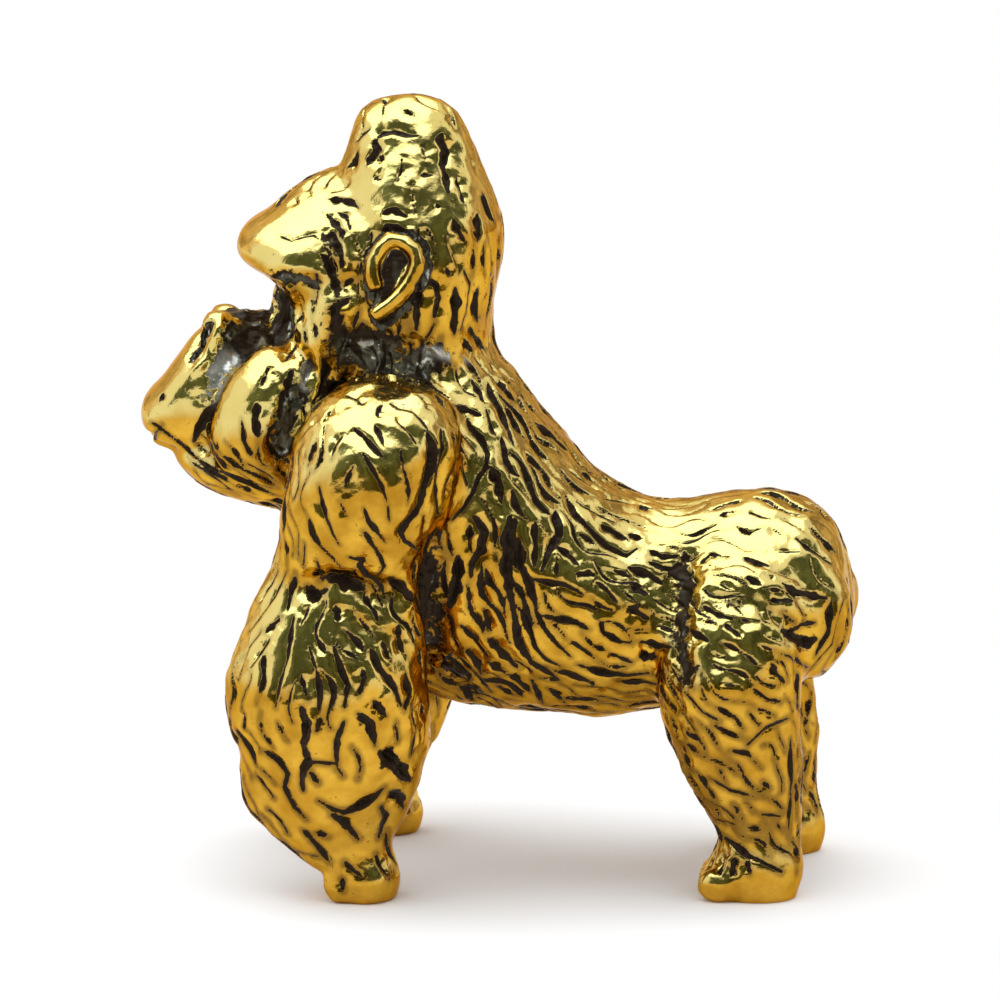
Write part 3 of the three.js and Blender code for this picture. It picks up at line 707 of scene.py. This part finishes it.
    def dress_ears(self):
        """Leaves dark patina in the hollow of each ear and round its foot."""
        for k, (ear, side) in enumerate(zip(EARS, (-1, 1))):
            low, high = (np.array(corner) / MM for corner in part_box(ear))
            out = np.array([0.0, side * math.cos(EAR_TILT), math.sin(EAR_TILT)])
            mine = self.owner == len(BODY) + k
            height = (self.points[mine] - (low + high) / 2) @ out
            top = height.max()
            hollow = 1.3 * (1 - ease(top - EAR_HOLLOW, top - EAR_RIM, height))
            self.recess[mine] = np.maximum(self.recess[mine] * 0.3, hollow)
            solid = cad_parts[ear].data
            shape = BVHTree.FromPolygons([v.co / MM for v in solid.vertices],
                                         [list(f.vertices) for f in solid.polygons])
            close = ~mine & (self.points > low - EAR_FOOT).all(1) & (self.points < high + EAR_FOOT).all(1)
            for i in np.flatnonzero(close):
                found = shape.find_nearest(Vector(self.points[i]), EAR_FOOT)
                if found[0] is not None:
                    self.recess[i] = max(self.recess[i], 1.1 - ease(0.35, EAR_FOOT, found[3]) * 1.1)

    def finish(self):
        """Sinks the strokes and hollows, leaves the recesses rough, and keeps the soles on the floor."""
        rough = np.zeros(len(self.points))
        for i in np.flatnonzero(self.recess > 0.35):
            spot = Vector(self.points[i])
            rough[i] = noise.noise(spot / 0.4) + noise.noise(spot / 0.8)
        rough *= 0.12 * ease(0.4, 0.7, self.recess)
        self.points -= self.normals * (self.trench + self.sunk + rough)[:, None]
        self.points[:, 2] = np.maximum(self.points[:, 2], 0.0)
        self.recess = np.maximum(self.recess, 2.6 * self.spread(self.trench, 40) - 0.15)
        self.normals = self.normals_now()
        # Painted highlight: surfaces that face up, and the face, are painted paler, as if lit from above.
        self.painted_highlight = ease(-0.1, 0.55, self.spread(self.normals[:, 2], 30) + 0.3 * self.on_face(7.5, 10.5))
        # Painted shade: the metal is painted darker towards the floor. Round the strokes it is stained.
        shade_low_down = 1 - ease(3, 15, self.points[:, 2])
        self.stain_and_low_shade = 0.85 * self.spread(1 - ease(0.06, 0.45, self.clear), 2) + 0.38 * shade_low_down

    def pieces(self):
        """Parts the surface into one closed piece for each casting, without the specks left inside it."""
        shell = connected(self.edges)
        specks = self.edges[np.bincount(shell)[shell] < SPECK_EDGES]
        self.faces = self.faces[~np.isin(self.faces[:, 0], specks)]
        shares = [self.spread((self.owner == k) * 1.0, 24) for k in range(len(CASTINGS))]
        owners = np.stack(shares, axis=1)[self.faces].sum(1).argmax(1)
        joints = self.joints(owners)
        return [self.piece(name, self.faces[owners == k], joints[k]) for k, name in enumerate(CASTINGS)]

    def joints(self, owners):
        """Each casting's joints with its neighbours: the edges round them, and each joint's middle."""
        edges = face_sides(self.faces).astype(np.int64)
        near = np.tile(owners, 4)
        count = len(self.points)
        there, back = edges @ (count, 1), edges @ (1, count)
        order = there.argsort()
        far = near[order[np.searchsorted(there, back, sorter=order)]]
        apart = near != far
        meeting = {}
        for (a, b), *both in zip(edges[apart].tolist(), near[apart], far[apart]):
            meeting.setdefault(a, set()).update(both)
            meeting.setdefault(b, set()).update(both)
        found = [[] for _ in CASTINGS]
        for a in range(len(BODY)):
            for b in range(a):
                rim = edges[(near == a) & (far == b)]
                if len(rim) == 0:
                    continue
                rim = np.array(rim.tolist() + closings(rim, meeting, self.points))
                loop = connected(rim)
                loops = range(loop.max() + 1)
                middles = np.array([self.points[rim[loop == k, 0]].mean(0) for k in loops])
                found[a].append((rim, middles, loop))
                found[b].append((rim[:, ::-1], middles, loop))
        return found

    def piece(self, name, faces, joints):
        """One casting: its share of the surface, closed by a fan of faces over each joint."""
        used, corners = np.unique(faces, return_inverse=True)
        corners = corners.reshape(-1, 4)
        points, lids = self.points[used], np.zeros((0, 3), int)
        for rim, middles, loop in joints:
            at = np.searchsorted(used, rim)
            lids = np.concatenate([lids, np.column_stack([at[:, 1], at[:, 0], len(points) + loop])])
            points = np.concatenate([points, middles])
        mesh = bpy.data.meshes.new(f"{name}_cast")
        mesh.from_pydata((points * MM).tolist(), [], corners.tolist() + lids.tolist())
        inside = len(points) - len(used)
        # The joints' middles are as dark as a recess.
        fields = (("stroke", self.mark, 1), ("recess", self.recess, 1), ("painted_highlight", self.painted_highlight, 1),
                  ("stain_and_low_shade", self.stain_and_low_shade, 1), ("sheen", self.sheen, 0))
        for field, values, value_inside in fields:
            layer = mesh.attributes.new(field, "FLOAT", "POINT")
            values = np.concatenate([values[used], np.full(inside, value_inside)])
            layer.data.foreach_set("value", values.astype(np.float32))
        first, second, third = points[lids].transpose(1, 0, 2)
        flat = np.cross(second - first, third - first)
        flat /= np.linalg.norm(flat, axis=1, keepdims=True).clip(1e-9)
        mesh.shade_smooth()
        turned = np.concatenate([self.normals[used][corners.ravel()], np.repeat(flat, 3, axis=0)])
        mesh.normals_split_custom_set(turned)
        made = bpy.data.objects.new(f"{name}_cast", mesh)
        bpy.context.scene.collection.objects.link(made)
        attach(made, "root")
        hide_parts(name)
        return made


# Fur

def comb(guides):
    """The lay of the fur at a place, from the guides near it."""
    table = np.array(guides, float)
    ways = np.column_stack([np.cos(np.radians(table[:, 2])), -np.sin(np.radians(table[:, 2]))])

    def lay(spot):
        off = (table[:, 0] - spot.x) ** 2 + (table[:, 1] - spot.z) ** 2
        x, z = (ways / (off[:, None] + 0.4) ** 1.5).sum(0)
        return Vector((x, 0.0, z)).normalized()

    return lay


# Each cut gives the gap between strokes, and the length and half width of a stroke, or None where none go.

def trunk_cut(spot, up):
    """Long strokes, finest along the back, shorter and sparser on the rump."""
    if spot.x > 12:
        return 0.95, 3.0, 0.09
    if up.z > 0.6:
        return 0.72, 3.6, 0.08
    if spot.x < 3:
        return 0.66, 4.2, 0.16
    return 0.62, 4.2, 0.105


def head_cut(spot, up):
    """Fine strokes on the beard, the temples and the crown, broad ones on the nape, none on the face."""
    if spot.x < -8.5:
        if spot.z < 25.5 and spot.x > -17:
            return 0.6, 2.4, 0.11
        if spot.z > 39 or spot.x > -9.8:
            return 1.1, 1.5, 0.10
        if spot.x > -12 and spot.z < 34:
            return 0.75, 1.2, 0.10
        return None
    if spot.z > 37:
        return 1.2, 1.8, 0.085
    if spot.z > 33:
        return 0.95, 2.4, 0.09
    return 0.95, 2.4, 0.14


def arm_cut(spot, up):
    """Dense strokes on the front and over the elbow, sparse ones elsewhere, none on the knuckles."""
    if spot.z < DIGITS_BARE:
        return None
    if up.x < -0.55:
        return 0.75, 3.0, 0.11
    if 12 < spot.z < 18 and up.z > 0.15:
        return 0.75, 2.8, 0.13
    return 1.2, 1.8, 0.10


def leg_cut(spot, up):
    """Fine dense strokes, none on the foot."""
    if spot.z < DIGITS_BARE:
        return None
    return 0.64, 2.4, 0.09


# How each casting's fur is combed and cut.
FUR = {"trunk": (comb(TRUNK_COMB), trunk_cut), "head": (comb(HEAD_COMB), head_cut)}
for limb in LIMBS:
    FUR[limb] = (comb(ARM_COMB), arm_cut) if limb.endswith("arm") else (comb(LEG_COMB), leg_cut)


def press_hollows(skin):
    """Paints the sheen along and sinks the hollows that have set places, on both sides of the figure."""
    for side in (-1, 1):
        for width, line in SHEEN:
            skin.paint_sheen(skin.press(line, side), width)
    for width, depth, dark, line in HOLLOWS:
        for side in (-1, 1):
            skin.sink(skin.press(line, side), width, depth, dark)


def carve_set_strokes(skin):
    """Cuts the strokes that have set places, on both sides of the figure."""
    for group, boldness in BOLDNESS:
        for width, line in group:
            for side in (-1, 1):
                path = skin.press(line, side)
                if len(path) > 2:
                    skin.carve(path, 0.03 + boldness * width, 0.12 + 0.9 * boldness * width, 0.65)


def cut_lips(skin):
    """Cuts the line between the lips round the front of the muzzle."""
    front = skin.tree.ray_cast(Vector((-60, 0, LIPS_HIGH)), Vector((1, 0, 0)))
    path = skin.trace(front[0], front[1], LIPS_LONG, lambda spot: Vector((0, 1, 0)), (0, 0, 0), 0.0)
    skin.carve(path, 0.13, 0.25, 0.6)


def lay_fur(skin):
    """Fills the rest with strokes that follow the combing, in a chance order, a gap apart."""
    order = list(range(len(skin.points)))
    luck.shuffle(order)
    for i in order:
        name = CASTINGS[skin.owner[i]]
        if name not in FUR or skin.clear[i] < LEAST_GAP:
            continue
        lay, cut = FUR[name]
        spot, up = Vector(skin.points[i]), Vector(skin.normals[i])
        stroke = cut(spot, up)
        if stroke is None:
            continue
        gap, length, width = stroke
        if skin.recess[i] > 0.5:
            gap = min(gap, RECESS_GAP)
        if skin.clear[i] < gap * luck.uniform(0.9, 1.25):
            continue
        wave = (luck.uniform(0.2, 0.7), luck.uniform(0, 6.28), luck.uniform(0.9, 2.4))
        path = skin.trace(spot, up, length * luck.uniform(0.5, 1.8), lay, wave, 0.4 * gap)
        if len(path) < SHORTEST_PATH:
            continue
        if luck.random() < 0.4:
            path = path[::-1]
        width *= luck.uniform(0.7, 1.35) * min(1.0, 0.45 + 0.05 * len(path))
        skin.carve(path, width, 0.10 + 0.9 * width, luck.uniform(0.1, 0.55))


# Finishes

class Tone:
    """A number, colour or vector that changes over a surface, taken from a socket of a finish."""

    def __init__(self, finish, socket):
        self.finish = finish
        self.socket = socket

    def worked(self, operation, first, second):
        """The result of one sum on two numbers."""
        return self.finish.add("ShaderNodeMath", {"operation": operation}, {0: first, 1: second})

    def __add__(self, other):
        return self.worked("ADD", self, other)

    __radd__ = __add__

    def __sub__(self, other):
        return self.worked("SUBTRACT", self, other)

    def __rsub__(self, other):
        return self.worked("SUBTRACT", other, self)

    def __mul__(self, other):
        return self.worked("MULTIPLY", self, other)

    __rmul__ = __mul__

    def most(self, other):
        """The larger of two numbers."""
        return self.worked("MAXIMUM", self, other)

    def rise(self, low, high):
        """0 below low, 1 above high, and a smooth rise between."""
        return self.finish.add("ShaderNodeMapRange", {"interpolation_type": "SMOOTHSTEP"},
                               {"Value": self, "From Min": low, "From Max": high})


class Finish:
    """One material and its nodes."""

    def __init__(self, name):
        self.material = bpy.data.materials.new(name)
        self.material.use_nodes = True
        self.tree = self.material.node_tree
        self.tree.nodes.clear()

    def add(self, kind, settings, sockets, output=0):
        """Adds one node: its settings first, then the values or links of its sockets."""
        node = self.tree.nodes.new(kind)
        for name, value in settings.items():
            setattr(node, name, value)
        for key, value in sockets.items():
            if isinstance(value, Tone):
                self.tree.links.new(value.socket, node.inputs[key])
            else:
                node.inputs[key].default_value = value
        return Tone(self, node.outputs[output]) if node.outputs else None

    def blend(self, share, first, second):
        """Goes from one colour to another."""
        return self.add("ShaderNodeMix", {"data_type": "RGBA"}, {0: share, 6: first, 7: second}, output=2)

    def grain(self, scale, detail=2.0):
        """Chance grain that stays with the piece, with so many grains to the metre."""
        place = self.add("ShaderNodeTexCoord", {}, {}, output="Object")
        return self.add("ShaderNodeTexNoise", {}, {"Vector": place, "Scale": scale, "Detail": detail})

    def field(self, name):
        """What the carving left at each point."""
        return self.add("ShaderNodeAttribute", {"attribute_name": name}, {}, output="Fac")

    def done(self, shader):
        """The material, with its shader."""
        self.add("ShaderNodeOutputMaterial", {}, {"Surface": shader})
        return self.material


def antique_brass():
    """Polished brass, with dark patina left in the strokes and the recesses, painted highlight, glints and
    sheen, and painted shade low down.
    """
    finish = Finish("antique_brass")
    stroke, recess, painted_highlight, stain_and_low_shade, sheen = (
        finish.field(name) for name in ("stroke", "recess", "painted_highlight", "stain_and_low_shade", "sheen"))
    blotch = finish.grain(520.0, 4.0)
    speck = finish.grain(2600.0, 3.0)
    in_strokes = (stroke + blotch * 0.4 + speck * 0.3 - 0.35).rise(0.22, 0.40)
    in_recesses = (recess + blotch * 1.5 + speck * 0.9 - 1.2).rise(0.48, 0.85)
    pores = (finish.grain(3400.0, 1.0) + blotch * 0.35).rise(0.90, 0.95)
    patina = in_strokes.most(in_recesses).most(pores * 0.6)
    black = patina.rise(0.35, 0.85)
    amber = finish.blend(blotch.rise(0.25, 0.75), DEEP_AMBER, PALE_AMBER)
    # Painted highlight: pale lemon where the metal faces up and on the face, the brass's own amber
    # elsewhere.
    highlight_lemon = finish.blend(blotch, HIGHLIGHT_DEEP_LEMON, HIGHLIGHT_PALE_LEMON)
    bright = finish.blend((painted_highlight + blotch * 0.6 - 0.3).rise(0.1, 0.85), amber, highlight_lemon)
    # Tarnish brown in the recesses and round the strokes, and painted shade low down; there is less of it
    # under the painted highlight.
    tarnish_and_shade = (stain_and_low_shade + recess * 0.6 + blotch + speck * 0.4 - 0.82).rise(0.1, 0.95)
    stained_and_shaded = finish.blend(tarnish_and_shade * (0.75 - painted_highlight * 0.4), bright, TARNISH_AND_SHADE_BROWN)
    # Dark metal shows through the patina where a recess is open to the light, with a few painted glints:
    # bright silver specks.
    in_the_light = recess.rise(0.78, 0.98) * (1.0 - recess.rise(1.08, 1.2))
    between_strokes = (in_recesses - in_strokes * 0.8).rise(0.2, 0.7)
    bare = in_the_light * between_strokes * (blotch + speck * 0.3).rise(0.38, 0.72)
    specks = speck * 0.6 + blotch * 0.6
    # Painted highlight: the painted sheen and the glints are silver laid over the dark patina.
    glint = (sheen * black * specks.rise(0.42, 0.64)).most(in_the_light * specks.rise(0.67, 0.76))
    dark = finish.blend(bare, PATINA_BLACK, GUNMETAL)
    colour = finish.blend(glint, finish.blend(black, stained_and_shaded, dark), GLINT_SILVER)
    grit = finish.grain(1500.0, 4.0) + black * speck * 1.4
    lumps = finish.add("ShaderNodeBump", {}, {"Strength": 0.32, "Distance": 0.00012, "Height": grit})
    shader = finish.add("ShaderNodeBsdfPrincipled", {}, {
        "Base Color": colour,
        "Metallic": 1.0 - black * (0.9 - bare.most(glint) * 0.85),
        "Roughness": 0.12 + black * 0.12 + blotch * 0.08,
        "Specular IOR Level": 0.17,
        "Specular Tint": (0.82, 0.58, 0.28, 1),
        "Coat Weight": 0.18 - black * 0.18,
        "Coat Roughness": 0.1,
        "Normal": lumps,
    })
    return finish.done(shader)


def rod_brass():
    """Drawn brass rod, a little dull, with fine draw marks."""
    finish = Finish("rod_brass")
    marks = finish.grain(3000.0, 4.0)
    shader = finish.add("ShaderNodeBsdfPrincipled", {}, {
        "Base Color": finish.blend(marks, DULL_ROD, BRIGHT_ROD),
        "Metallic": 1.0,
        "Roughness": 0.25 + marks * 0.2,
    })
    return finish.done(shader)


def cloth(name, colour):
    """A matt cloth with the light and shade of soft folds painted on."""
    finish = Finish(name)
    painted_fold_shade = finish.grain(5.0, 2.0).rise(0.3, 0.7)
    shaded, lit = ([part * level for part in colour] + [1] for level in (0.45, 1.55))
    shader = finish.add("ShaderNodeBsdfPrincipled", {}, {
        "Base Color": finish.blend(painted_fold_shade, shaded, lit),
        "Roughness": 0.9,
        "Specular IOR Level": 0.0,
    })
    return finish.done(shader)


def white_floor():
    """A matt white floor that runs out to plain white away from the figure."""
    finish = Finish("white_floor")
    paint = finish.add("ShaderNodeBsdfDiffuse", {}, {"Color": FLOOR_PAINT})
    backdrop = finish.add("ShaderNodeEmission", {}, {"Color": (1, 1, 1, 1), "Strength": 1.0})
    place = finish.add("ShaderNodeTexCoord", {}, {}, output="Object")
    away = finish.add("ShaderNodeVectorMath", {"operation": "LENGTH"}, {0: place}, output="Value")
    seen = 0.0
    for ray in ("Is Camera Ray", "Is Glossy Ray", "Is Transmission Ray"):
        seen += finish.add("ShaderNodeLightPath", {}, {}, output=ray)
    share = seen * away.rise(*FLOOR_RUNS_OUT)
    return finish.done(finish.add("ShaderNodeMixShader", {}, {0: share, 1: paint, 2: backdrop}))


# Studio

def stage_mesh(name, corners, faces, material):
    """A mesh that belongs to the studio and not to the figure."""
    mesh = bpy.data.meshes.new(name)
    mesh.from_pydata(corners, [], faces)
    mesh.materials.append(material)
    made = bpy.data.objects.new(name, mesh)
    bpy.context.scene.collection.objects.link(made)
    return made


def screen(name, away, turns, lifts, colour, across=24, high=10):
    """A cloth bent round the figure, seen only in the polished metal."""
    corners, faces = [], []
    for i in range(across + 1):
        for j in range(high + 1):
            turn = math.radians(turns[0] + (turns[1] - turns[0]) * i / across)
            lift = math.radians(lifts[0] + (lifts[1] - lifts[0]) * j / high)
            corners.append((away * math.sin(turn) * math.cos(lift), -away * math.cos(turn) * math.cos(lift),
                            away * math.sin(lift)))
    for i in range(across):
        for j in range(high):
            a = i * (high + 1) + j
            faces.append((a, a + 1, a + high + 2, a + high + 1))
    made = stage_mesh(name, corners, faces, cloth(f"{name}_cloth", colour))
    made.visible_camera = made.visible_diffuse = made.visible_shadow = False


def studio():
    """A white floor, a broad light overhead, a dark screen in front and a warm one behind."""
    turns = [2 * math.pi * k / FLOOR_SIDES for k in range(FLOOR_SIDES)]
    floor = [(FLOOR_REACH * math.cos(turn), FLOOR_REACH * math.sin(turn), 0.0) for turn in turns]
    stage_mesh("floor", floor, [list(range(FLOOR_SIDES))], white_floor())
    screen("dark_screen", 0.55, (-50, 85), (9, 49), OLIVE_CLOTH)
    screen("warm_screen", 0.6, (105, 255), (1, 42), WARM_CLOTH)
    lamp = bpy.data.lights.new("overhead", "AREA")
    lamp.shape = "SQUARE"
    lamp.size = 0.46
    lamp.energy = 1.05
    lamp.color = (0.72, 0.88, 1.0)
    overhead = bpy.data.objects.new("overhead", lamp)
    overhead.location = (-0.12, 0.0, 0.33)
    bpy.context.scene.collection.objects.link(overhead)
    world = bpy.data.worlds.new("white_room")
    world.use_nodes = True
    world.node_tree.nodes["Background"].inputs["Color"].default_value = (1, 1, 1, 1)
    world.node_tree.nodes["Background"].inputs["Strength"].default_value = 1.0
    bpy.context.scene.world = world


def camera():
    """A long lens at the view that the carving is drawn in."""
    lens = bpy.data.cameras.new("camera")
    lens.sensor_width = SENSOR
    lens.lens = SENSOR * VIEW_AWAY * PIXELS_PER_MM / PICTURE_PIXELS
    lens.clip_start, lens.clip_end = 0.01, 10
    made = bpy.data.objects.new("camera", lens)
    made.location = (VIEW_MIDDLE + VIEW_BACK * VIEW_AWAY) * MM
    made.rotation_mode = "QUATERNION"
    made.rotation_quaternion = (-VIEW_BACK).to_track_quat("-Z", "Y")
    bpy.context.scene.collection.objects.link(made)
    bpy.context.scene.camera = made


camera()
studio()
skin = Skin()
skin.polish()
skin.hand_work()
skin.settle()
skin.find_recesses()
skin.dress_ears()
press_hollows(skin)
carve_set_strokes(skin)
cut_lips(skin)
lay_fur(skin)
skin.finish()
brass = antique_brass()
for casting in skin.pieces():
    casting.data.materials.append(brass)
rod = rod_brass()
for name in RODS:
    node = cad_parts[name]
    node.data.materials.clear()
    node.data.materials.append(rod)

bpy.context.scene.view_settings.view_transform = "Standard"
